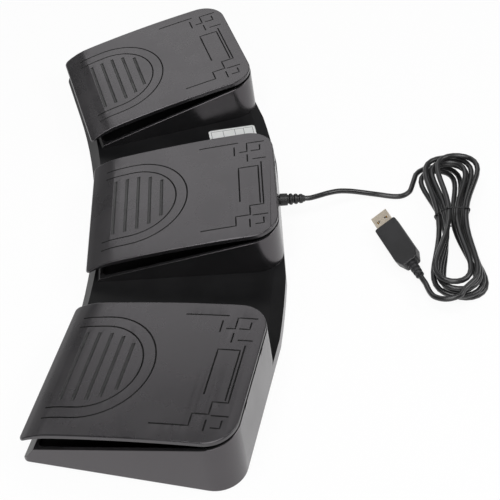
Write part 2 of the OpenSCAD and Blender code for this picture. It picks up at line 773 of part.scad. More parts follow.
// Band round the waist of the hank, as wide as the runs of cable that it holds
function to_hank(p) =
  let (x = p.x - hank_at.x, y = p.y - hank_at.y)
  [x * cos(hank_turn) + y * sin(hank_turn), y * cos(hank_turn) - x * sin(hank_turn)];
tie_runs = [
  for (k = [1 : len(hank_loops) - 1])
    let (a = to_hank(hank_loops[k - 1]), b = to_hank(hank_loops[k]))
    if ((a.x - tie_h) * (b.x - tie_h) < 0) a.y + (b.y - a.y) * (tie_h - a.x) / (b.x - a.x)
];
module tie_bar(grow, w) {
  left = min(tie_runs) - cable_d / 2 - tie_side_gap - grow;
  right = max(tie_runs) + cable_d / 2 + tie_side_gap + grow;
  low = waist_lift - tie_gap - grow;
  high = cable_d + waist_lift + (layers - 1) * layer_rise + 2 * tie_gap + grow;
  r = tie_r + grow;
  translate([hank_at.x, hank_at.y, 0]) rotate([0, 0, hank_turn]) translate([tie_h - w / 2, 0, 0])
    rotate([90, 0, 90]) {
      translate([left, low + r, 0]) cube([right - left, high - low - 2 * r, w]);
      translate([left + r, low, 0]) cube([right - left - 2 * r, high - low, w]);
      for (y = [left + r, right - r], z = [low + r, high - r]) translate([y, z, 0]) cylinder(r = r, h = w);
    }
}

module cable_tie() {
  color("#101010") difference() {
    tie_bar(tie_t, tie_w);
    tie_bar(0, tie_w + bite);
  }
}

module usb_plug_body() {
  pitch = plug_tail_l / plug_ribs;
  tail_d = plug_t * 0.8;
  color("#1c1c1e") at_plug() difference() {
    union() {
      translate([0, 0, -plug_t / 2]) linear_extrude(plug_t) polygon([
        [0, -plug_rear_w / 2], [plug_taper_l, -plug_w / 2], [plug_l, -plug_w / 2],
        [plug_l, plug_w / 2], [plug_taper_l, plug_w / 2], [0, plug_rear_w / 2]
      ]);
      rotate([0, -90, 0]) {
        cylinder(d1 = tail_d * 0.85, d2 = cable_d + 0.8, h = plug_tail_l);
        for (k = [0 : plug_ribs - 1]) translate([0, 0, k * pitch + pitch * 0.3])
          cylinder(d = tail_d - k * (tail_d - cable_d - 1.6) / plug_ribs, h = pitch * 0.5);
      }
    }
    translate([plug_l - shell_in - snug_gap, -shell_w / 2 - snug_gap, -shell_h / 2 - snug_gap])
      cube([shell_in + bite, shell_w + 2 * snug_gap, shell_h + 2 * snug_gap]);
  }
}

module usb_plug_shell() {
  total = shell_in + shell_l;
  color("#c9c9cc") at_plug() translate([plug_l - shell_in, 0, 0]) difference() {
    translate([0, -shell_w / 2, -shell_h / 2]) cube([total, shell_w, shell_h]);
    translate([shell_wall, -shell_w / 2 + shell_wall, -shell_h / 2 + shell_wall])
      cube([total, shell_w - 2 * shell_wall, shell_h - 2 * shell_wall]);
    for (s = [-1, 1]) translate([total - shell_l * 0.55 - window_l / 2, s * window_gap - window_w / 2, -shell_h])
      cube([window_l, window_w, 2 * shell_h]);
  }
}

module usb_plug_insert() {
  length = shell_in + shell_l - shell_wall - 0.4;
  color("#f0f0ec") at_plug()
    translate([plug_l - shell_in + shell_wall, -shell_w / 2 + shell_wall + snug_gap, -shell_h / 2 + shell_wall])
      cube([length, shell_w - 2 * shell_wall - 2 * snug_gap, insert_h]);
}

module usb_contacts() {
  color("#d4af37") at_plug() for (y = contact_pitch)
    translate([plug_l + 1, y - contact_w / 2, -shell_h / 2 + shell_wall + insert_h])
      cube([shell_l - 2.5, contact_w, contact_t]);
}

base_deck();
housing(0);  // left_housing
housing(1);  // middle_housing
housing(2);  // right_housing
bottom_cover();
cover_screws();
rubber_feet();
pedal(0);  // left_pedal
pedal(1);  // middle_pedal
pedal(2);  // right_pedal
hinge_pin(0);  // left_hinge_pin
hinge_pin(1);  // middle_hinge_pin
hinge_pin(2);  // right_hinge_pin
return_spring(0);  // left_return_spring
return_spring(1);  // middle_return_spring
return_spring(2);  // right_return_spring
microswitch(0);  // left_microswitch
microswitch(1);  // middle_microswitch
microswitch(2);  // right_microswitch
plunger(0);  // left_plunger
plunger(1);  // middle_plunger
plunger(2);  // right_plunger
controller_board();
controller_chip();
cable_connector();
side_switch_wire(0, left_wire_end);  // left_switch_wire
middle_switch_wire();
side_switch_wire(2, right_wire_end);  // right_switch_wire
label_sticker();
inner_cable();
cable_sleeve();
cable_lead();
cable_hank();
cable_tie();
cable_tail();
usb_plug_body();
usb_plug_shell();
usb_plug_insert();
usb_contacts();
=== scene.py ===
"""Looks of a three-pedal USB foot switch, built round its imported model."""

import math

import bpy
from mathutils import Matrix, Vector


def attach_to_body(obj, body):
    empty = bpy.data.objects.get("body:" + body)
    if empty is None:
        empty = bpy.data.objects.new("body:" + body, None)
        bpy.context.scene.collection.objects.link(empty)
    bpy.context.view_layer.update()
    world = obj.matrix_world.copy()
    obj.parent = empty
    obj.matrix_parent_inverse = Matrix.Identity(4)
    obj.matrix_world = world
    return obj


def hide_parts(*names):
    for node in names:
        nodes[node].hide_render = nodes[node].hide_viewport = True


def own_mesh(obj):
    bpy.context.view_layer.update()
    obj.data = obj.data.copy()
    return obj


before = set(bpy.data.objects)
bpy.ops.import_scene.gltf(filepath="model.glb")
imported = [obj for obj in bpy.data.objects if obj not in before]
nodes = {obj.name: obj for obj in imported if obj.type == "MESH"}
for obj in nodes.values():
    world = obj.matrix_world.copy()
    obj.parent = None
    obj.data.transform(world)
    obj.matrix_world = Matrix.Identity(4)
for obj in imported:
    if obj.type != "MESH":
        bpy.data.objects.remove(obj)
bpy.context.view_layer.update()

# Sizes in millimetres, as in the part's source
MM = 0.001
SIDES = ("left", "middle", "right")
FAN_ANGLE = 14.84
FAN_Y = 561.113
FRONT_R = 512.0
PEDAL_L = 125.0
PEDAL_W = 102.5
PLATE_T = 3.2
PLATE_CORNER_R = 18.0
PLATE_NOSE_R = 3.0
PLATE_REAR_H = 43.4
PLATE_SLOPE = 0.091
PLATE_BOW = 0.073
NOSE_DROP = 4.5
NOSE_L = 18.8
HINGE_INSET = 10.0
NOSE_Y = HINGE_INSET - PEDAL_L
HINGE_R = FRONT_R - NOSE_Y
BASE_Z = 1.2
DECK_TOP = 10.7
CABLE_D = 3.6
EXIT = (-10.9, 95.32, 14.6)
PLUG_AT = (51.0, 160.0, 8.0)
PLUG_TURN = 198.3
PLUG_ROLL = -30.0


def plate_top(y):
    """Height of a pedal plate's bowed top at a distance from its hinge."""
    t = (HINGE_INSET - y) / PEDAL_L
    fall = PEDAL_L * (PLATE_SLOPE * t + PLATE_BOW * t * t)
    nose = (max(0.0, NOSE_Y + NOSE_L - y) / NOSE_L) ** 2
    return PLATE_REAR_H - fall - NOSE_DROP * nose


def pedal_matrix(i):
    """Place of a pedal's own frame, on the floor below its hinge."""
    turn = Matrix.Rotation(math.radians((1 - i) * FAN_ANGLE), 4, "Z")
    centre = Matrix.Translation((0, -FAN_Y * MM, 0))
    return centre @ turn @ Matrix.Translation((0, HINGE_R * MM, 0))


def plug_matrix():
    turn = Matrix.Rotation(math.radians(PLUG_TURN), 4, "Z")
    roll = Matrix.Rotation(math.radians(PLUG_ROLL), 4, "X")
    return Matrix.Translation([v * MM for v in PLUG_AT]) @ turn @ roll


# Modelling helpers

WELD = 1e-6
CAD_WELD = 2e-6
FLAT_ANGLE = 0.3
ROUND_ANGLE = 60


def set_mode(mode):
    bpy.ops.object.mode_set(mode=mode)


def deselect():
    if bpy.context.mode != "OBJECT":
        set_mode("OBJECT")
    bpy.ops.object.select_all(action="DESELECT")


def take(obj):
    deselect()
    obj.select_set(True)
    bpy.context.view_layer.objects.active = obj
    return obj


def open_mesh(obj, kind="FACE", action="SELECT"):
    """Opens a mesh for editing, with all or none of it picked."""
    take(obj)
    set_mode("EDIT")
    bpy.ops.mesh.select_mode(type=kind)
    bpy.ops.mesh.select_all(action=action)


def begin(name, add, **sizes):
    deselect()
    add(**sizes)
    obj = bpy.context.active_object
    obj.name = name
    obj.data.name = name
    return obj


def linked(name, data):
    obj = bpy.data.objects.new(name, data)
    bpy.context.scene.collection.objects.link(obj)
    return obj


def settle(obj, matrix=None):
    """Applies an object's own place, then moves its mesh by a matrix."""
    take(obj)
    bpy.ops.object.transform_apply(location=True, rotation=True, scale=True)
    if matrix is not None:
        obj.matrix_world = matrix
        bpy.ops.object.transform_apply(location=True, rotation=True, scale=True)
    return obj


def block(name, low, high):
    size = [(b - a) * MM for a, b in zip(low, high)]
    centre = [(a + b) / 2 * MM for a, b in zip(low, high)]
    obj = begin(name, bpy.ops.mesh.primitive_cube_add, size=1, location=centre)
    obj.scale = size
    return settle(obj)


def bevel_folds(obj, test, width, segments, place=Matrix()):
    """Rounds the edges that pass a test.

    The test has an edge's ends and its two face normals, lower one first, as seen from a place.
    """
    home = place.inverted()
    turn = home.to_3x3()
    sides = {}
    for face in obj.data.polygons:
        for key in face.edge_keys:
            sides.setdefault(key, []).append(turn @ face.normal)
    points = [home @ v.co / MM for v in obj.data.vertices]
    chosen = set()
    for key, normals in sides.items():
        if len(normals) == 2:
            low, high = sorted(normals, key=lambda n: n.z)
            if test(points[key[0]], points[key[1]], low, high):
                chosen.add(key)
    open_mesh(obj, "EDGE", "DESELECT")
    set_mode("OBJECT")
    for edge in obj.data.edges:
        edge.select = edge.key in chosen
    set_mode("EDIT")
    bpy.ops.mesh.bevel(offset=width * MM, offset_type="OFFSET", segments=segments, profile=0.5,
                       affect="EDGES", clamp_overlap=False)
    set_mode("OBJECT")
    return obj


def copy_of(node, name):
    """A merged copy of a CAD node's mesh, ready to be worked on."""
    obj = linked(name, nodes[node].data.copy())
    obj.data.name = name
    open_mesh(obj)
    bpy.ops.mesh.remove_doubles(threshold=CAD_WELD)
    bpy.ops.mesh.dissolve_limited(angle_limit=math.radians(FLAT_ANGLE))
    set_mode("OBJECT")
    return obj


def modify(obj, kind, **settings):
    take(obj)
    modifier = obj.modifiers.new(kind, kind)
    for key, value in settings.items():
        setattr(modifier, key, value)
    bpy.ops.object.modifier_apply(modifier=modifier.name)
    return obj


def cut_out(obj, cutter, **settings):
    modify(obj, "BOOLEAN", operation="DIFFERENCE", solver="EXACT", object=cutter, **settings)
    bpy.data.objects.remove(cutter)


def engrave(obj, cutter, lining):
    """Cuts a shape out and gives the cut a finish of its own, a darker one that paints shade into
    the cut.
    """
    cutter.data.materials.append(lining)
    cut_out(obj, cutter, material_mode="TRANSFER")


def smooth(obj, angle):
    take(obj)
    bpy.ops.object.shade_smooth_by_angle(angle=math.radians(angle))
    return modify(obj, "WEIGHTED_NORMAL", keep_sharp=True)


def joined(name, objs):
    deselect()
    for obj in objs:
        obj.select_set(True)
    bpy.context.view_layer.objects.active = objs[0]
    bpy.ops.object.join()
    objs[0].name = name
    objs[0].data.name = name
    return objs[0]


def turned(name, profile, sides):
    """A round piece along +Z through (height, radius) pairs."""
    z, r = profile[0]
    obj = begin(name, bpy.ops.mesh.primitive_circle_add, vertices=sides, radius=r * MM,
                location=(0, 0, z * MM), fill_type="NGON")
    open_mesh(settle(obj))
    for z2, r2 in profile[1:]:
        bpy.ops.mesh.extrude_region_move(TRANSFORM_OT_translate={"value": (0, 0, (z2 - z) * MM)})
        if r2 != r:
            bpy.ops.transform.resize(value=(r2 / r, r2 / r, 1))
        z, r = z2, r2
    bpy.ops.mesh.select_all(action="SELECT")
    bpy.ops.mesh.normals_make_consistent(inside=False)
    set_mode("OBJECT")
    return obj


def curve_along(name, paths, radius, closed=False, resolution=2, twist="Z_UP"):
    """Round bars along paths of points, as one curve."""
    curve = bpy.data.curves.new(name, "CURVE")
    curve.dimensions = "3D"
    curve.twist_mode = twist
    curve.bevel_depth = radius * MM
    curve.bevel_resolution = resolution
    curve.use_fill_caps = True
    for points in paths:
        spline = curve.splines.new("POLY")
        spline.points.add(len(points) - 1)
        spline.use_cyclic_u = closed
        spline.use_smooth = True
        for point, at in zip(spline.points, points):
            point.co = (at[0] * MM, at[1] * MM, at[2] * MM, 1)
    return linked(name, curve)


def wire(name, paths, radius, **settings):
    """Round bars along paths of points, as one mesh."""
    take(curve_along(name, paths, radius, **settings))
    bpy.ops.object.convert(target="MESH")
    obj = bpy.context.active_object
    open_mesh(obj)
    bpy.ops.mesh.remove_doubles(threshold=WELD)
    bpy.ops.mesh.normals_make_consistent(inside=False)
    set_mode("OBJECT")
    return obj


def rounded_path(points, per_span=6):
    """A smooth line through points."""
    out = []
    for k in range(len(points) - 1):
        p0 = points[max(k - 1, 0)]
        p1, p2 = points[k], points[k + 1]
        p3 = points[min(k + 2, len(points) - 1)]
        span = (p2 - p1).length
        m1 = (p2 - p0) / (span + (p1 - p0).length) * span
        m2 = (p3 - p1) / ((p3 - p2).length + span) * span
        for j in range(per_span):
            t = j / per_span
            out.append(
                (2 * t**3 - 3 * t**2 + 1) * p1 + (t**3 - 2 * t**2 + t) * m1
                + (3 * t**2 - 2 * t**3) * p2 + (t**3 - t**2) * m2
            )
    out.append(points[-1])
    return out


def paint(obj, material):
    obj.data.materials.clear()
    obj.data.materials.append(material)


def overlay(obj, material, test):
    """Gives a second finish to the faces whose normals pass a test."""
    obj.data.materials.append(material)
    for face in obj.data.polygons:
        face.material_index = int(test(face.normal))


def attach(obj, body, slot, *replaced):
    """Puts a finished piece on its body, in place of its CAD nodes."""
    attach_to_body(obj, body)
    if replaced:
        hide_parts(*replaced)
    return obj


def dress(obj, material, slot, *replaced):
    paint(obj, material)
    return attach(obj, "base", slot, *replaced)


# Materials

CLOUD_SCALE = 35
CLOUD_DETAIL = 3
CLOUD_RANGE = (0.35, 0.65)
GRAIN_DETAIL = 2
SMEAR_DETAIL = 5
NOISE_ROUGHNESS = 0.6


def finish_of(name, color, roughness, metallic=0.0):
    material = bpy.data.materials.new(name)
    material.use_nodes = True
    shader = material.node_tree.nodes["Principled BSDF"]
    shader.inputs["Base Color"].default_value = (*color, 1)
    shader.inputs["Roughness"].default_value = roughness
    shader.inputs["Metallic"].default_value = metallic
    return material, shader


def noise(tree, place, scale, detail):
    node = tree.nodes.new("ShaderNodeTexNoise")
    node.inputs["Scale"].default_value = scale
    node.inputs["Detail"].default_value = detail
    node.inputs["Roughness"].default_value = NOISE_ROUGHNESS
    tree.links.new(place, node.inputs["Vector"])
    return node.outputs["Fac"]


def ramp(tree, value, start, end, low, high, kind="LINEAR"):
    """A number that goes from low to high as a value goes from start to end."""
    node = tree.nodes.new("ShaderNodeMapRange")
    node.interpolation_type = kind
    node.inputs["From Min"].default_value = start
    node.inputs["From Max"].default_value = end
    node.inputs["To Min"].default_value = low
    node.inputs["To Max"].default_value = high
    tree.links.new(value, node.inputs["Value"])
    return node.outputs["Result"]


def tint(tree, value, dark, light):
    node = tree.nodes.new("ShaderNodeValToRGB")
    for element, position, color in zip(node.color_ramp.elements, CLOUD_RANGE, (dark, light)):
        element.position = position
        element.color = (*color, 1)
    tree.links.new(value, node.inputs["Fac"])
    return node.outputs["Color"]


def roughen(tree, shader, height, depth):
    node = tree.nodes.new("ShaderNodeBump")
    node.inputs["Strength"].default_value = 1.0
    node.inputs["Distance"].default_value = depth * MM
    tree.links.new(height, node.inputs["Height"])
    tree.links.new(node.outputs["Normal"], shader.inputs["Normal"])


def vary(tree, shader, cloud, dark, light, gloss):
    """Lets a cloudy pattern vary a finish's colour and roughness."""
    tree.links.new(tint(tree, cloud, dark, light), shader.inputs["Base Color"])
    tree.links.new(ramp(tree, cloud, *CLOUD_RANGE, *gloss), shader.inputs["Roughness"])


def plastic(name, dark, light, gloss, grain, ior=1.5, tinge=(1, 1, 1)):
    """Moulded plastic with a range of roughness and a fine grain of some size and depth."""
    material, shader = finish_of(name, light, gloss[1])
    shader.inputs["IOR"].default_value = ior
    shader.inputs["Specular Tint"].default_value = (*tinge, 1)
    tree = material.node_tree
    place = tree.nodes.new("ShaderNodeTexCoord").outputs["Object"]
    vary(tree, shader, noise(tree, place, CLOUD_SCALE, CLOUD_DETAIL), dark, light, gloss)
    size, depth = grain
    roughen(tree, shader, noise(tree, place, 1 / (size * MM), GRAIN_DETAIL), depth)
    return material


def metal(name, dark, light, gloss, smears=180, depth=0.01):
    """Plated or ground metal with faint smears."""
    material, shader = finish_of(name, light, gloss[1], metallic=1.0)
    tree = material.node_tree
    place = tree.nodes.new("ShaderNodeTexCoord").outputs["Object"]
    smear = noise(tree, place, smears, SMEAR_DETAIL)
    vary(tree, shader, smear, dark, light, gloss)
    roughen(tree, shader, smear, depth)
    return material


SHELL = plastic("gloss black shell", (0.010, 0.010, 0.0105), (0.014, 0.014, 0.0145),
                gloss=(0.2, 0.26), grain=(0.4, 0.002), ior=1.75, tinge=(1.0, 0.92, 0.98))
# Darker, less reflective copy of the shell for up-facing faces: partly a satin finish, partly
# painted shade from the neighbouring pedals.
SHADED_DECK = plastic("satin black deck with painted shade", (0.008, 0.008, 0.0085), (0.012, 0.012, 0.0125),
               gloss=(0.34, 0.42), grain=(0.4, 0.003), ior=1.2)
PLATE = plastic("matte black pedal", (0.012, 0.0115, 0.0125), (0.017, 0.0165, 0.0175),
                gloss=(0.25, 0.3), grain=(0.3, 0.004), ior=1.7, tinge=(1.0, 0.95, 1.0))
# Lining of the tread slots: rougher than the plate, and a shade darker as painted shade in the
# slots.
SHADED_TREAD = plastic("satin black tread with painted shade", (0.010, 0.0098, 0.0103), (0.013, 0.0127, 0.0133),
                gloss=(0.34, 0.42), grain=(0.3, 0.006), ior=1.6)
# Lining of the relief lines: darker than the plate, as painted shade in the grooves.
SHADED_GROOVE = plastic("black groove with painted shade", (0.006, 0.006, 0.006), (0.009, 0.009, 0.009),
                 gloss=(0.5, 0.6), grain=(0.3, 0.004), ior=1.25)
COVER = plastic("matte black cover", (0.015, 0.015, 0.016), (0.025, 0.025, 0.026),
                gloss=(0.5, 0.6), grain=(0.5, 0.03))
CABLE = plastic("black cable jacket", (0.008, 0.008, 0.0085), (0.014, 0.014, 0.015),
                gloss=(0.27, 0.34), grain=(0.25, 0.002), ior=1.6)
SLEEVE = plastic("black ribbed rubber", (0.012, 0.012, 0.013), (0.02, 0.02, 0.021),
                 gloss=(0.42, 0.52), grain=(0.25, 0.01))
PLUG = plastic("black plug moulding", (0.018, 0.018, 0.019), (0.028, 0.028, 0.03),
               gloss=(0.40, 0.5), grain=(0.3, 0.015))
TIE = plastic("black tie", (0.006, 0.006, 0.007), (0.012, 0.012, 0.013),
              gloss=(0.35, 0.45), grain=(0.4, 0.004))
RUBBER = plastic("black foot rubber", (0.02, 0.02, 0.02), (0.03, 0.03, 0.03),
                 gloss=(0.65, 0.8), grain=(0.4, 0.03))
SWITCH = plastic("black switch case", (0.01, 0.01, 0.01), (0.02, 0.02, 0.02),
                 gloss=(0.4, 0.5), grain=(0.3, 0.006))
PLUNGER = plastic("red plunger", (0.32, 0.03, 0.02), (0.42, 0.04, 0.03),
                  gloss=(0.3, 0.4), grain=(0.3, 0.004))
BOARD = plastic("green board", (0.01, 0.09, 0.03), (0.02, 0.16, 0.06),
                gloss=(0.3, 0.4), grain=(0.4, 0.006))
CHIP = plastic("black chip", (0.01, 0.01, 0.01), (0.02, 0.02, 0.02),
               gloss=(0.5, 0.6), grain=(0.2, 0.01))
CREAM = plastic("cream connector", (0.6, 0.57, 0.48), (0.7, 0.67, 0.58),
                gloss=(0.35, 0.45), grain=(0.3, 0.004))
WIRE = plastic("red wire", (0.28, 0.02, 0.02), (0.38, 0.03, 0.03),
               gloss=(0.4, 0.5), grain=(0.3, 0.004))
INSERT = plastic("white insert", (0.7, 0.7, 0.68), (0.8, 0.8, 0.78),
                 gloss=(0.35, 0.45), grain=(0.3, 0.004))
STEEL = metal("bright steel", (0.5, 0.5, 0.51), (0.62, 0.62, 0.63), gloss=(0.22, 0.34))
NICKEL = metal("plated shell", (0.70, 0.62, 0.51), (0.73, 0.65, 0.535), gloss=(0.27, 0.31),
               smears=60, depth=0.002)
GOLD = metal("gold contact", (0.7, 0.5, 0.2), (0.85, 0.62, 0.28), gloss=(0.2, 0.3))
LABEL = plastic("pale label", (0.78, 0.80, 0.79), (0.84, 0.85, 0.84),
                gloss=(0.45, 0.55), grain=(0.4, 0.004))
INK = plastic("grey label ink", (0.16, 0.16, 0.17), (0.22, 0.22, 0.23),
              gloss=(0.5, 0.6), grain=(0.4, 0.002))

# CAD nodes that show as they are

FINISHES = {
    "bottom_cover": COVER, "controller_board": BOARD, "controller_chip": CHIP,
    "cable_connector": CREAM, "usb_plug_shell": NICKEL, "usb_plug_insert": INSERT,
    "usb_contacts": GOLD,
}
for side in SIDES:
    FINISHES[side + "_hinge_pin"] = STEEL
    FINISHES[side + "_microswitch"] = SWITCH
    FINISHES[side + "_plunger"] = PLUNGER
for node, material in FINISHES.items():
    paint(nodes[node], material)

# Camera at the photograph's viewing angle

AIM = Vector((46.6, 56.5, 25.0)) * MM
AZIMUTH, ELEVATION, ROLL = (math.radians(v) for v in (90.585, 44.240, -3.957))
DISTANCE = 762.9 * MM
LENS = 86.29
SENSOR_W = 36.0


def add_camera():
    flat = math.cos(ELEVATION)
    back = Vector((math.sin(AZIMUTH) * flat, -math.cos(AZIMUTH) * flat, math.sin(ELEVATION)))
    level = Vector((math.cos(AZIMUTH), math.sin(AZIMUTH), 0))
    upright = back.cross(level)
    right = math.cos(ROLL) * level + math.sin(ROLL) * upright
    up = math.cos(ROLL) * upright - math.sin(ROLL) * level
    camera = linked("camera", bpy.data.cameras.new("camera"))
    camera.data.lens = LENS
    camera.data.sensor_width = SENSOR_W
    turn = Matrix((right, up, back)).transposed().to_4x4()
    camera.matrix_world = Matrix.Translation(AIM + back * DISTANCE) @ turn
    bpy.context.scene.camera = camera


add_camera()

# Cable: lead, hank and tail on one line

LEAD = [
    (-12.4, 104.5, 14.7), (-15.2, 111.5, 14.2), (-18.5, 119.0, 12.4), (-21.3, 127.0, 9.2),
    (-23.2, 134.9, 5.8), (-23.9, 142.6, 3.2), (-23.4, 148.2, 2.2), (-22.2, 153.0, 1.9),
    (-21.1, 157.6, 1.9), (-20.9, 161.4, 1.9), (-21.8, 164.5, 1.9), (-23.6, 167.2, 1.9),
    (-26.1, 169.3, 1.9),
]
TAIL = [
    (86.2, 185.3, 13.9), (87.7, 181.1, 13.2), (87.6, 176.5, 12.2), (85.7, 172.4, 11.1),
    (82.5, 169.2, 10.0), (78.2, 167.6, 9.0), (73.7, 166.8, 8.3),
]
PLUG_TAIL_L = 12.0
HANK_AT = (15.5, 192.0)
HANK_TURN = math.radians(-5.0)
HANK_HALF_L = 66.0
HANK_WAIST = 9.5
HANK_SWELL = (27.7, 29.0)
HANK_STEP = (4.6, 5.3, 2.8)
HANK_FAN = (6.2, 0.6, -0.5, -5.2)
HANK_PIVOT = 11.6
LAYER_TURNS = 1.5
LAYER_RISE = 4.15
LAYERS = 4
CLIMB_TURNS = 0.3
WAIST_LIFT = 1.0
HANK_FIRST = 55 / 360
HANK_LAST = LAYERS * LAYER_TURNS - 110 / 360
LOOP_RINGS = 48


def eased(x):
    x = min(1.0, max(0.0, x))
    return x * x * (3 - 2 * x)


def hank_point(t):
    """Middle of the cable after some turns of the hank."""
    angle = math.radians(270 - 360 * t)
    c, s = math.cos(angle), math.sin(angle)
    layer = math.floor(t / LAYER_TURNS)
    part = t / LAYER_TURNS - layer
    inward = LAYER_TURNS * (part if layer % 2 == 0 else 1 - part)
    near, far = HANK_SWELL
    swell = (near + far) / 2 + c * (near - far) / 2
    x = (HANK_HALF_L - HANK_STEP[0] * inward) * c
    y = s * (HANK_WAIST - HANK_STEP[1] * inward + (swell - HANK_STEP[2] * inward) * c * c)
    climb = sum(eased((t - k * LAYER_TURNS) / CLIMB_TURNS + 0.5) for k in range(1, LAYERS))
    z = CABLE_D / 2 + WAIST_LIFT * s * s + LAYER_RISE * climb
    k = min(int(climb), LAYERS - 2)
    fan = math.radians(HANK_FAN[k] + (HANK_FAN[k + 1] - HANK_FAN[k]) * (climb - k))
    cf, sf = math.cos(fan), math.sin(fan)
    x -= HANK_PIVOT
    x, y = HANK_PIVOT + x * cf - y * sf, x * sf + y * cf
    ct, st = math.cos(HANK_TURN), math.sin(HANK_TURN)
    return Vector((HANK_AT[0] + x * ct - y * st, HANK_AT[1] + x * st + y * ct, z))


def plug_point(x):
    turn = math.radians(PLUG_TURN)
    return Vector((PLUG_AT[0] + x * math.cos(turn), PLUG_AT[1] + x * math.sin(turn), PLUG_AT[2]))


def past(end, before):
    """The point one cable's thickness beyond the end of a line."""
    return end + CABLE_D * (end - before).normalized()


def cable_route(loops):
    """The whole line from the sleeve to the plug."""
    start = Vector(EXIT)
    hank_in, hank_out = past(loops[0], loops[1]), past(loops[-1], loops[-2])
    lead = [start, start + Vector((0, CABLE_D, 0))] + [Vector(p) for p in LEAD]
    lead += [past(hank_in, loops[0]), hank_in]
    tail = [hank_out, past(hank_out, loops[-1])] + [Vector(p) for p in TAIL]
    tail += [plug_point(-PLUG_TAIL_L - k * CABLE_D) for k in (2, 1, 0)]
    return rounded_path(lead)[:-1] + [hank_in] + loops + rounded_path(tail)


loop_steps = round((HANK_LAST - HANK_FIRST) * LOOP_RINGS)
hank_loops = [hank_point(HANK_FIRST + k / LOOP_RINGS) for k in range(loop_steps + 1)]
cable = curve_along("cable", [cable_route(hank_loops)], CABLE_D / 2, resolution=4, twist="MINIMUM")
dress(cable, CABLE, "cable_black", "cable_lead", "cable_hank", "cable_tail")

# Thin band drawn tight round the hank's waist

TIE_H = -5.0
TIE_R = 0.45
TIE_EASE = 0.03
TIE_STEP = math.radians(12)


def waist_strands(loops):
    """Across and up places of the cable's runs where the band passes."""
    home = Matrix.Rotation(-HANK_TURN, 3, "Z")
    runs = [home @ (p - Vector((*HANK_AT, 0))) for p in loops]
    out = []
    for a, b in zip(runs, runs[1:]):
        if (a.x - TIE_H) * (b.x - TIE_H) < 0:
            p = a.lerp(b, (TIE_H - a.x) / (b.x - a.x))
            out.append((p.y, p.z))
    return sorted(out)


def turns_out(a, b, c):
    return (b[0] - a[0]) * (c[1] - a[1]) > (b[1] - a[1]) * (c[0] - a[0])


def lower_side(points):
    """The points of a sorted list on the lower side of its outline, but for the last."""
    out = []
    for p in points:
        while len(out) > 1 and not turns_out(out[-2], out[-1], p):
            out.pop()
        out.append(p)
    return out[:-1]


def band_path(strands):
    """A closed line round the outermost strands."""
    ring = lower_side(strands) + lower_side(strands[::-1])
    reach = CABLE_D / 2 + TIE_R + TIE_EASE
    out = []
    for k, at in enumerate(ring):
        before, after = ring[k - 1], ring[(k + 1) % len(ring)]
        first = math.atan2(before[0] - at[0], at[1] - before[1])
        sweep = (math.atan2(at[0] - after[0], after[1] - at[1]) - first) % (2 * math.pi)
        parts = max(1, math.ceil(sweep / TIE_STEP))
        for j in range(parts + 1):
            angle = first + sweep * j / parts
            across, height = at[0] + reach * math.cos(angle), at[1] + reach * math.sin(angle)
            out.append((TIE_H, across, height))
    return out


band = band_path(waist_strands(hank_loops))
tie = wire("tie", [band], TIE_R, closed=True, resolution=3, twist="MINIMUM")
hank_place = Matrix.Translation((HANK_AT[0] * MM, HANK_AT[1] * MM, 0))
settle(tie, hank_place @ Matrix.Rotation(HANK_TURN, 4, "Z"))
smooth(tie, ROUND_ANGLE)
dress(tie, TIE, "tie_black", "cable_tie")

# Plug moulding with rounded edges

PLUG_L = 38.0
PLUG_W = 16.0
PLUG_T = 8.4
PLUG_REAR_W = 10.0
PLUG_TAPER_L = 7.0
PLUG_ROUND = 1.0
PLUG_NEAR = 0.05
PLUG_FOLD = 0.8


def plug_half(x):
    return PLUG_REAR_W / 2 + (PLUG_W - PLUG_REAR_W) / 2 * min(1.0, x / PLUG_TAPER_L)


def on_plug_edge(p):
    if not -PLUG_NEAR < p.x < PLUG_L + PLUG_NEAR:
        return False
    return abs(p.z) > PLUG_T / 2 - PLUG_NEAR or abs(p.y) > plug_half(p.x) - PLUG_NEAR


def plug_edge(a, b, low, high):
    return low.dot(high) <= PLUG_FOLD and on_plug_edge(a) and on_plug_edge(b)


plug_body = copy_of("usb_plug_body", "plug_body")
bevel_folds(plug_body, plug_edge, PLUG_ROUND, segments=4, place=plug_matrix())
smooth(plug_body, angle=25)
dress(plug_body, PLUG, "plug_black", "usb_plug_body")

# Pedal plates: rounded edges, stepped relief lines and a plain arched tread

FRETS = [
    [(-19.2, 1.2), (22.8, 1.2), (22.8, -7.8), (31.5, -7.8), (31.5, -17.2), (40.0, -17.2),
     (40.0, -40.0)],
    [(21.5, -0.9), (-15.4, -0.9), (-15.4, -14.0), (18.0, -14.0)],
    [(35.2, -8.3), (43.0, -8.3)],
    [(35.0, 0.6), (40.5, 0.6), (40.5, -4.9)],
    [(32.2, -6.4), (32.2, 3.7)],
    [(-41.6, -40.0), (-41.6, -13.4)],
    [(-37.7, -16.3), (-28.6, -16.3)],
    [(-40.2, 4.2), (-40.2, -7.7), (-31.5, -7.7), (-31.5, -13.0)],
    [(-37.2, 1.0), (-31.7, 1.0), (-31.7, -5.3)],
    [(-28.3, -7.7), (-20.9, -7.7)],
    [(-23.0, -4.2), (-23.0, 4.7)],
]
FRET_R = 0.55
FRET_RISE = 0.14
FRET_SPAN = 3.0
ARCH_R = (38.5, 31.0)
ARCH_Y = -87.0
ARCH_FOOT = -105.0
ARCH_PARTS = 30
TREAD_Y = (-66.0, -74.0, -82.0, -90.0, -98.0)
TREAD_R = 1.5
TREAD_RISE = 0.9
TREAD_INSET = 5.0
TOP_ROUND = 0.8
UNDER_ROUND = 0.4
PLATE_NEAR = 0.1
FACE_UP = 0.7
FACE_SIDE = 0.4


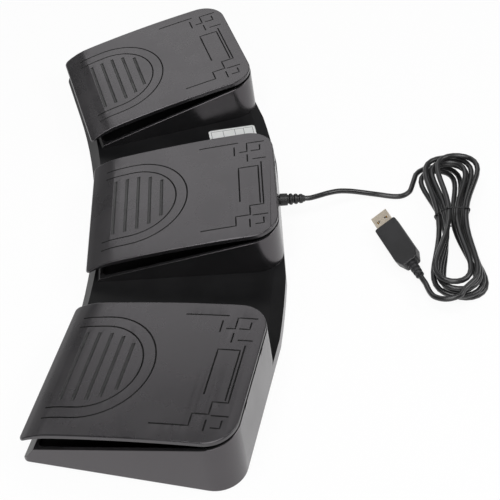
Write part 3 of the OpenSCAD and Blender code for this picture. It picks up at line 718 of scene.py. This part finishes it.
def laid(points, rise):
    """Points along a plate's top, close together and a little above it."""
    out = []
    for (u0, y0), (u1, y1) in zip(points, points[1:]):
        parts = max(1, math.ceil(math.hypot(u1 - u0, y1 - y0) / FRET_SPAN))
        for k in range(parts):
            out.append((u0 + (u1 - u0) * k / parts, y0 + (y1 - y0) * k / parts))
    out.append(points[-1])
    return [(u, y, plate_top(y) + rise) for u, y in out]


def arch(radius):
    turns = [math.pi * (1 - k / ARCH_PARTS) for k in range(ARCH_PARTS + 1)]
    crown = [(radius * math.cos(a), ARCH_Y + radius * math.sin(a)) for a in turns]
    return [(-radius, ARCH_FOOT)] + crown + [(radius, ARCH_FOOT)]


def tread_bar(y):
    """A bar across the inside of the arch."""
    half = ARCH_R[1] if y < ARCH_Y else math.sqrt(ARCH_R[1] ** 2 - (y - ARCH_Y) ** 2)
    return [(TREAD_INSET - half, y), (half - TREAD_INSET, y)]


def inside_plate(p):
    """Distance of a point on a plate from the plate's outline."""
    half, rear, u, y = PEDAL_W / 2, HINGE_INSET, abs(p.x), p.y
    corner_u, corner_y = u - half + PLATE_CORNER_R, y - rear + PLATE_CORNER_R
    if corner_u > 0 and corner_y > 0:
        return PLATE_CORNER_R - math.hypot(corner_u, corner_y)
    nose_u, nose_y = u - half + PLATE_NOSE_R, NOSE_Y + PLATE_NOSE_R - y
    if nose_u > 0 and nose_y > 0:
        return PLATE_NOSE_R - math.hypot(nose_u, nose_y)
    return min(half - u, rear - y, y - NOSE_Y)


def top_edge(a, b, low, high):
    return high.z > FACE_UP and abs(low.z) < FACE_SIDE and all(
        p.z > plate_top(p.y) - PLATE_NEAR and inside_plate(p) < PLATE_NEAR for p in (a, b))


def under_edge(a, b, low, high):
    return low.z < -FACE_UP and abs(high.z) < FACE_SIDE and all(
        inside_plate(p) < PLATE_NEAR for p in (a, b))


def make_plate(i, side):
    place = pedal_matrix(i)
    plate = copy_of(side + "_pedal", side + "_plate")
    paint(plate, PLATE)
    bevel_folds(plate, top_edge, TOP_ROUND, segments=3, place=place)
    bevel_folds(plate, under_edge, UNDER_ROUND, segments=2, place=place)
    # Relief lines and arch get the darker groove lining: painted shade in the grooves.
    frets = wire("fret cutter", [laid(path, FRET_RISE) for path in FRETS], FRET_R)
    engrave(plate, settle(frets, place), SHADED_GROOVE)
    edges = wire("arch cutter", [laid(arch(r), FRET_RISE) for r in ARCH_R], FRET_R)
    engrave(plate, settle(edges, place), SHADED_GROOVE)
    # Tread bars get a rougher, slightly darker lining: painted shade in the slots.
    bars = [laid(tread_bar(y), TREAD_RISE) for y in TREAD_Y]
    engrave(plate, settle(wire("tread cutter", bars, TREAD_R, resolution=4), place), SHADED_TREAD)
    smooth(plate, angle=30)
    attach(plate, side + "_plate", "pedal_black", side + "_pedal")


for i, side in enumerate(SIDES):
    make_plate(i, side)

# Base: the walls round each tray with a softened rim, duller on the front slope, where a darker
# finish paints in shade

RIM_REAR_Z = 39.7
RIM_NOSE_Z = 11.45
RIM_ANGLE = math.atan((RIM_REAR_Z - RIM_NOSE_Z) / PEDAL_L)
RIM_NORMAL = Vector((0, -math.sin(RIM_ANGLE), math.cos(RIM_ANGLE)))
RIM_ROUND = 0.5
RIM_FOLD = 0.9
RIM_FACING = 0.999
REAR_HALF_W = 33.7
REAR_Y = 5.0
FRONT_BEVEL = 6.5
FRONT_FACING = 0.98
FRONT_SLOPE = Vector((0, BASE_Z - DECK_TOP, FRONT_BEVEL)).normalized()


def rim_edge(a, b, low, high):
    """Tells a rim's edges, apart from the straight ones at the rear."""
    straight_rear = min(a.y, b.y) > REAR_Y and max(abs(a.x), abs(b.x)) < REAR_HALF_W
    if straight_rear or low.dot(high) > RIM_FOLD:
        return False
    return max(low.dot(RIM_NORMAL), high.dot(RIM_NORMAL)) > RIM_FACING


def make_walls(i, side):
    place = pedal_matrix(i)
    walls = copy_of(side + "_housing", side + "_walls")
    bevel_folds(walls, rim_edge, RIM_ROUND, segments=3, place=place)
    smooth(walls, angle=20)
    dress(walls, SHELL, "shell_black", side + "_housing")
    # The front slope takes the darker deck finish: painted shade, partly a satin finish.
    slope = place.to_3x3() @ FRONT_SLOPE
    overlay(walls, SHADED_DECK, lambda normal: normal.dot(slope) > FRONT_FACING)


for i, side in enumerate(SIDES):
    make_walls(i, side)

# Base: the deck with a rounded front edge in the valleys, duller on top, where a darker finish
# paints in shade

FRONT_ROUND = 1.5
VALLEY_TURNS = (6.2, 8.65)
VALLEY_NEAR = 0.3
VALLEY_FACE_Z = (0.4, 0.7)
DECK_TOP_Z = 0.99
DECK_DULL_SHADE_Z = 0.35


def on_valley_front(p):
    turn = abs(math.degrees(math.atan2(p.x, p.y + FAN_Y)))
    reach = math.hypot(p.x, p.y + FAN_Y)
    near = abs(reach - FRONT_R - FRONT_BEVEL) <= VALLEY_NEAR
    return near and VALLEY_TURNS[0] < turn < VALLEY_TURNS[1]


def valley_front(a, b, low, high):
    fold = high.z >= DECK_TOP_Z and VALLEY_FACE_Z[0] < low.z < VALLEY_FACE_Z[1]
    return fold and on_valley_front(a) and on_valley_front(b)


deck = copy_of("base_deck", "deck")
bevel_folds(deck, valley_front, FRONT_ROUND, segments=4)
smooth(deck, angle=20)
dress(deck, SHELL, "shell_black", "base_deck")
# Up-facing faces take the darker deck finish: painted shade, partly a satin finish.
overlay(deck, SHADED_DECK, lambda normal: normal.z > DECK_DULL_SHADE_Z)

# Ribbed sleeve where the cable leaves the base

SLEEVE_INNER = 9.4
SLEEVE_START = 12.43
SLEEVE_L = 17.0
FLANGE_T = 2.0
FLANGE_R = 3.7
NECK_R = 3.15
COLLAR_L = 5.4
COLLAR_R = 4.2
RIBS = [(3.95, 3.0), (3.6, 2.8), (3.25, 2.6)]
RIB_L = 2.6
RIB_PARTS = 8
RIB_FOOT = 0.2
RIB_SHAPE = 0.7
GROOVE_L = 0.8
GROOVE_EASE = 0.1
TIP_R = (2.45, 2.2)
SLEEVE_SIDES = 32
COLLAR_START = [(0, -0.4), (0.15, -0.12), (0.45, 0)]
COLLAR_END = [(-0.6, -0.05), (-0.2, -0.2), (0, -0.55)]


def sleeve_profile():
    profile = [(SLEEVE_INNER - FLANGE_T, FLANGE_R), (SLEEVE_INNER, FLANGE_R)]
    profile += [(SLEEVE_INNER, NECK_R), (SLEEVE_START, NECK_R)]
    at = SLEEVE_START + COLLAR_L
    profile += [(SLEEVE_START + z, COLLAR_R + r) for z, r in COLLAR_START]
    profile += [(at + z, COLLAR_R + r) for z, r in COLLAR_END]
    for wide, core in RIBS:
        profile += [(at + GROOVE_EASE, core), (at + GROOVE_L - GROOVE_EASE, core)]
        at += GROOVE_L
        foot = core + RIB_FOOT
        for k in range(RIB_PARTS + 1):
            bulge = math.sin(math.pi * k / RIB_PARTS) ** RIB_SHAPE
            profile.append((at + RIB_L * k / RIB_PARTS, foot + (wide - foot) * bulge))
        at += RIB_L
    return profile + [(at + GROOVE_EASE / 2, TIP_R[0]), (SLEEVE_START + SLEEVE_L, TIP_R[1])]


sleeve = turned("sleeve", sleeve_profile(), SLEEVE_SIDES)
sleeve_place = Matrix.Translation((EXIT[0] * MM, (HINGE_R - FAN_Y) * MM, EXIT[2] * MM))
settle(sleeve, sleeve_place @ Matrix.Rotation(-math.pi / 2, 4, "X"))
smooth(sleeve, angle=40)
dress(sleeve, SLEEVE, "sleeve_black", "cable_sleeve")

# Return springs with closed ends, pressed flat by their pedals

SPRING_REACH = 58.0
SPRING_COIL_R = 5.4
SPRING_WIRE_R = 0.6
SPRING_LOW = 10.9
SPRING_SEAT = 2.7
SPRING_HIGH = plate_top(-SPRING_REACH) - PLATE_T - SPRING_SEAT
SPRING_TURNS = 6
SPRING_STEPS = 24
CLOSED_RISE = 1.25


def coil_height(turn):
    """Height of a spring's wire after some turns, its first and last turns closed."""
    full = SPRING_HIGH - SPRING_LOW - 2 * SPRING_WIRE_R
    if turn < 1:
        return CLOSED_RISE * turn
    if turn > SPRING_TURNS - 1:
        return full - CLOSED_RISE * (SPRING_TURNS - turn)
    return CLOSED_RISE + (full - 2 * CLOSED_RISE) * (turn - 1) / (SPRING_TURNS - 2)


def spring_point(k):
    angle = 2 * math.pi * k / SPRING_STEPS
    x, y = SPRING_COIL_R * math.cos(angle), SPRING_COIL_R * math.sin(angle) - SPRING_REACH
    return x, y, SPRING_LOW + SPRING_WIRE_R + coil_height(k / SPRING_STEPS)


coil = [spring_point(k) for k in range(SPRING_TURNS * SPRING_STEPS + 1)]
for i, side in enumerate(SIDES):
    spring = settle(wire(side + "_spring", [coil], SPRING_WIRE_R), pedal_matrix(i))
    smooth(spring, ROUND_ANGLE)
    dress(spring, STEEL, "spring_steel", side + "_return_spring")
    seat = pedal_matrix(i) @ (Vector((0, -SPRING_REACH, SPRING_LOW)) * MM)
    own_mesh(spring)

# Switch wires and the cable inside the base

WIRE_R = 1.1
WIRE_U = 12.0
WIRE_Y = NOSE_Y + 32.0
WIRE_LOW = 5.75
WIRE_HIGH = 12.2
UNDER_POINTS = 13
UNDER_INSET = 0.3
DECK_UNDER = 8.3
BOARD_Z = 12.2
BOARD_T = 1.2
SWITCH_FRONT = -31.55
LEFT_END, RIGHT_END = -26.0, -16.0
MIDDLE_END = (-20.0, NOSE_Y + 43.0, BOARD_Z + BOARD_T)
INNER_START, INNER_END = 7.395, -66.0
INNER_PARTS = 24
INNER_SAG = 0.5


def on_pedal(i, points):
    """Points of a pedal's frame in the part's frame."""
    place = pedal_matrix(i)
    return [place @ (Vector(p) * MM) / MM for p in points]


def side_wire(i, end_u):
    """From a side switch through the deck, round below it and up to the board."""
    s = i - 1
    u = -s * WIRE_U
    tray = [
        (0, SWITCH_FRONT, DECK_TOP + 3), (0, SWITCH_FRONT - 3, DECK_TOP + 3),
        (u / 3, SWITCH_FRONT - 7, WIRE_HIGH + 0.6), (u, SWITCH_FRONT - 16, WIRE_HIGH),
        (u, WIRE_Y + 7, WIRE_HIGH), (u, WIRE_Y + 2.5, WIRE_HIGH - 0.6),
        (u, WIRE_Y + 0.5, DECK_TOP - 1.2),
    ]
    reach = HINGE_R + WIRE_Y
    first = math.radians(s * FAN_ANGLE) + math.atan(u / reach)
    last = math.atan(end_u / reach)
    under = []
    for k in range(UNDER_POINTS):
        part = (k + UNDER_INSET) / (UNDER_POINTS - 1 + 2 * UNDER_INSET)
        a = first + (last - first) * part
        under.append(Vector((reach * math.sin(a), reach * math.cos(a) - FAN_Y, WIRE_LOW)))
    rise = [
        (end_u - s * 0.4, WIRE_Y, WIRE_LOW + 2), (end_u, WIRE_Y, DECK_UNDER),
        (end_u, WIRE_Y, BOARD_Z),
    ]
    return on_pedal(i, tray) + under + on_pedal(1, rise)


def middle_wire():
    """From the middle switch over the cable and down to the board."""
    over = EXIT[2] + CABLE_D / 2 + WIRE_R + 1.5
    points = [
        (0, SWITCH_FRONT, DECK_TOP + 3.6), (0, SWITCH_FRONT - 3, DECK_TOP + 3.8),
        (-2, SWITCH_FRONT - 7, over - 1.2), (EXIT[0] + 2, SWITCH_FRONT - 13, over),
        (EXIT[0] - 5, SWITCH_FRONT - 20, over - 0.6),
    ]
    drop = [(0.8, 3, 4.4), (0, 0.6, 2.6), (0, 0, 1.2), (0, 0, 0)]
    return on_pedal(1, points + [Vector(MIDDLE_END) + Vector(p) for p in drop])


WIRES = {
    "left": side_wire(0, LEFT_END), "middle": middle_wire(), "right": side_wire(2, RIGHT_END),
}
for side, points in WIRES.items():
    strand = wire(side + "_wire", [rounded_path(points, per_span=4)], WIRE_R, twist="MINIMUM")
    smooth(strand, ROUND_ANGLE)
    dress(strand, WIRE, "wire_red", side + "_switch_wire")


def inner_point(part):
    sag = INNER_SAG * math.sin(math.pi * part) ** 2
    return EXIT[0], INNER_START + (INNER_END - INNER_START) * part, EXIT[2] - sag


inner_run = [inner_point(k / INNER_PARTS) for k in range(INNER_PARTS + 1)]
inside = settle(wire("inside_cable", [inner_run], CABLE_D / 2, resolution=4), pedal_matrix(1))
smooth(inside, ROUND_ANGLE)
dress(inside, CABLE, "cable_black", "inner_cable")

# Label with rounded corners and ruled blank boxes

LABEL_LOW = (-17.0, 599.0, 10.7)
LABEL_HIGH = (13.0, 633.0, 10.9)
LABEL_CORNER = 2.0
LABEL_NEAR = 0.05
RULE_W = 0.35
RULE_T = 0.03
BOX_X = (-15.2, 11.2)
BOX_Y = (600.8, 609.5, 618.0, 624.5, 631.2)
COLUMNS = [(-4.0, 1, 3), (4.5, 2, 3)]
LABEL_TURN = Matrix.Rotation(math.radians(FAN_ANGLE / 2), 4, "Z")
LABEL_PLACE = Matrix.Translation((0, -FAN_Y * MM, 0)) @ LABEL_TURN


def upright_edge(a, b, low, high):
    return abs(a.z - b.z) > LABEL_NEAR


def rule(a, b):
    """A thin printed line on the label between two places."""
    low = (a[0] - RULE_W / 2, a[1] - RULE_W / 2, LABEL_HIGH[2])
    return block("rule", low, (b[0] + RULE_W / 2, b[1] + RULE_W / 2, LABEL_HIGH[2] + RULE_T))


label = block("label", LABEL_LOW, LABEL_HIGH)
bevel_folds(label, upright_edge, LABEL_CORNER, segments=6)
smooth(settle(label, LABEL_PLACE), angle=30)
dress(label, LABEL, "label_white", "label_sticker")

lines = [rule((BOX_X[0], y), (BOX_X[1], y)) for y in BOX_Y]
lines += [rule((x, BOX_Y[0]), (x, BOX_Y[-1])) for x in BOX_X]
lines += [rule((x, BOX_Y[first]), (x, BOX_Y[last])) for x, first, last in COLUMNS]
rules = settle(joined("label_rules", lines), LABEL_PLACE)
dress(rules, INK, "label_white")

# Rubber feet with a rolled edge and a dished face

FOOT_R = 6.0
FOOT_TOP = 2.0
FOOT_U = 22.0
FOOT_Y = (NOSE_Y + 20.0, 1.0)
FOOT_PROFILE = [
    (0.3, 3.6), (0.25, 4.0), (0.0, 4.6), (0.0, 5.3), (0.12, 5.7), (0.4, 5.95), (0.7, FOOT_R),
    (FOOT_TOP, FOOT_R),
]
FOOT_SIDES = 40


def make_foot(i, u, y):
    foot = turned("foot", FOOT_PROFILE, FOOT_SIDES)
    return settle(foot, pedal_matrix(i) @ Matrix.Translation((u * MM, y * MM, 0)))


feet = joined("feet", [
    make_foot(i, u, y) for i in (0, 2) for u in (-FOOT_U, FOOT_U) for y in FOOT_Y
])
smooth(feet, angle=40)
dress(feet, RUBBER, "foot_rubber", "rubber_feet")

# Cover screws with a cross recess

SCREW_U = 36.0
SCREW_Y = (NOSE_Y + 17.0, 1.0)
CROSS_L = 2.6
CROSS_W = 0.7
CROSS_DEEP = 0.8
CROSS_OUT = 0.2


def cross_bars(i, u, y):
    """Two bars that cut one screw's recess."""
    for w, d in ((CROSS_W, CROSS_L), (CROSS_L, CROSS_W)):
        low = (u - w / 2, y - d / 2, BASE_Z - CROSS_OUT)
        bar = block("bar", low, (u + w / 2, y + d / 2, BASE_Z + CROSS_DEEP))
        yield settle(bar, pedal_matrix(i))


bars = [
    bar
    for i in range(len(SIDES)) for u in (-SCREW_U, SCREW_U) for y in SCREW_Y
    for bar in cross_bars(i, u, y)
]
screws = copy_of("cover_screws", "screws")
cut_out(screws, joined("cross cutter", bars), use_self=True)
smooth(screws, angle=30)
dress(screws, STEEL, "screw_steel", "cover_screws")

# Floor, background and lights

FLOOR_SIZE = 6
FLOOR_TONE = (0.9, 0.9, 0.9)
FLOOR_ROUGHNESS = 0.9
FLOOR_GLOW = 0.93
AMBIENT = 0.4
CEILING_TONE = 0.12
CEILING_START = 0.1
LIGHTS = [
    ("far softbox", (-1.91, -0.134, 1.607), (0, 0, 0), (2.23, 0.93), 9.4, -20),
    ("side softbox", (-1.08, -1.5, 1.2), (0, 0, 0), (0.7, 0.6), 1.8, 0),
    ("near softbox", (1.6, -0.2, 0.9), (0, 0, 0), (1.2, 0.8), 10, 0),
    ("top softbox", (0.35, -0.05, 1.2), (0.05, 0.05, 0), (0.8, 0.8), 9, 0),
    ("rear softbox", (0.1, 1.1, 0.9), (0, 0.1, 0), (0.8, 0.6), 6, 0),
]


def larger(tree, first, second):
    node = tree.nodes.new("ShaderNodeMath")
    node.operation = "MAXIMUM"
    tree.links.new(first, node.inputs[0])
    tree.links.new(second, node.inputs[1])
    return node.outputs[0]


def seen(tree, rays):
    """One for rays from the camera, straight, mirrored or through a clear piece."""
    direct = larger(tree, rays["Is Camera Ray"], rays["Is Glossy Ray"])
    return larger(tree, direct, rays["Is Transmission Ray"])


def add_floor():
    """A pale floor that looks almost white but takes soft shadows."""
    floor = begin("floor", bpy.ops.mesh.primitive_plane_add, size=FLOOR_SIZE, location=(0, 0, 0))
    material, shader = finish_of("pale floor", FLOOR_TONE, FLOOR_ROUGHNESS)
    floor.data.materials.append(material)
    tree = material.node_tree
    rays = tree.nodes.new("ShaderNodeLightPath").outputs
    glow = tree.nodes.new("ShaderNodeEmission")
    mix = tree.nodes.new("ShaderNodeMixShader")
    tree.links.new(ramp(tree, seen(tree, rays), 0, 1, 0, FLOOR_GLOW), mix.inputs["Fac"])
    tree.links.new(shader.outputs[0], mix.inputs[1])
    tree.links.new(glow.outputs[0], mix.inputs[2])
    tree.links.new(mix.outputs[0], tree.nodes["Material Output"].inputs["Surface"])


def add_world():
    """White behind the part, and a dim ceiling over it for reflections and light."""
    world = bpy.data.worlds.new("studio")
    bpy.context.scene.world = world
    world.use_nodes = True
    tree = world.node_tree
    background = tree.nodes["Background"].inputs
    rays = tree.nodes.new("ShaderNodeLightPath").outputs
    strength = ramp(tree, seen(tree, rays), 0, 1, AMBIENT, 1.0)
    tree.links.new(strength, background["Strength"])
    height = tree.nodes.new("ShaderNodeSeparateXYZ")
    sky = tree.nodes.new("ShaderNodeTexCoord").outputs["Generated"]
    tree.links.new(sky, height.inputs[0])
    ceiling = ramp(tree, height.outputs["Z"], 0, CEILING_START, 1.0, CEILING_TONE, "SMOOTHSTEP")
    tree.links.new(larger(tree, rays["Is Camera Ray"], ceiling), background["Color"])


def add_softbox(name, at, aim, size, power, roll):
    lamp = bpy.data.lights.new(name, "AREA")
    lamp.shape = "RECTANGLE"
    lamp.size, lamp.size_y = size
    lamp.energy = power
    obj = linked(name, lamp)
    obj.location = at
    obj.rotation_euler = (Vector(aim) - Vector(at)).to_track_quat("-Z", "Y").to_euler()
    obj.rotation_euler.rotate_axis("Z", math.radians(roll))


add_floor()
add_world()
for light in LIGHTS:
    add_softbox(*light)
bpy.context.scene.view_settings.view_transform = "Standard"
